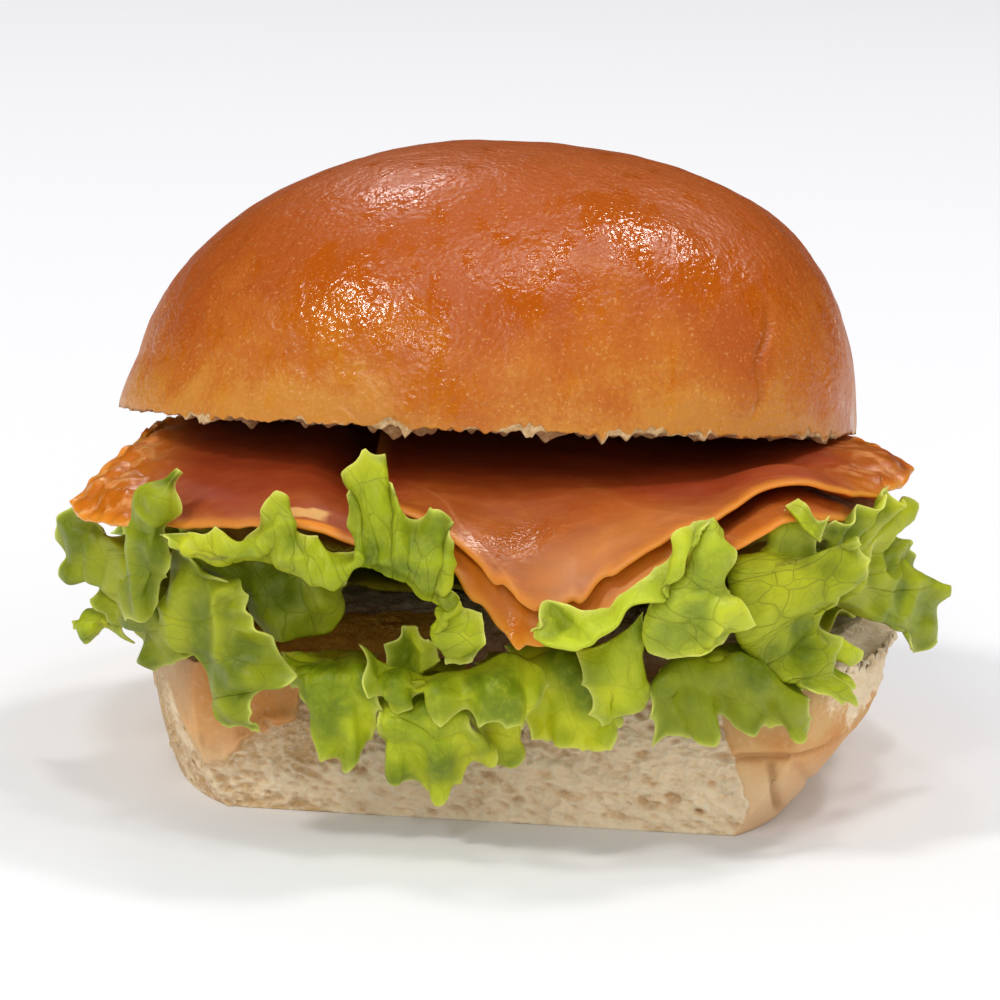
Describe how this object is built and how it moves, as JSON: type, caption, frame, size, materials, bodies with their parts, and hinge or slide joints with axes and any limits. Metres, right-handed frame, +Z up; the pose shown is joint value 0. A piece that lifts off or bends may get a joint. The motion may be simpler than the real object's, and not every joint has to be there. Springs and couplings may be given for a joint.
{
  "type": "salmon sandwich",
  "caption": "Soft glazed roll, open at the front, filled with draped slices of smoked salmon and frilled green lettuce leaves.",
  "frame": {"origin": "on the flat base of the lower half of the roll, under the middle of the sandwich", "axes": "+Z up, -Y towards the open mouth at the front, +X to the right as seen from the front"},
  "size_m": [0.1238, 0.1223, 0.0875],
  "materials": {
    "crust": "glazed, browned, satin to glossy",
    "crumb": "dry, porous, torn",
    "salmon": "wet, translucent",
    "lettuce": "soft sheen, thin, veined"
  },
  "bodies": {
    "root": {"bun_lower": "crumb", "bun_upper": "crust", "salmon_left": "salmon", "salmon_under": "salmon", "salmon_upper": "salmon", "salmon_right": "salmon", "lettuce_outer_left": "lettuce", "lettuce_left_tip": "lettuce", "lettuce_left_spear": "lettuce", "lettuce_front_left": "lettuce", "lettuce_middle_frill": "lettuce", "lettuce_inner": "lettuce", "lettuce_low_left": "lettuce", "lettuce_low_fold": "lettuce", "lettuce_roll": "lettuce", "lettuce_low_front": "lettuce", "lettuce_low_behind": "lettuce", "lettuce_middle": "lettuce", "lettuce_middle_right": "lettuce", "lettuce_curl": "lettuce", "lettuce_veined": "lettuce", "lettuce_low_right": "lettuce", "lettuce_right": "lettuce", "lettuce_right_fold": "lettuce", "lettuce_right_edge": "lettuce", "lettuce_far_right": "lettuce", "lettuce_back_upper": "lettuce", "lettuce_back_middle": "lettuce", "lettuce_back_lower": "lettuce"}
  },
  "joints": []
}
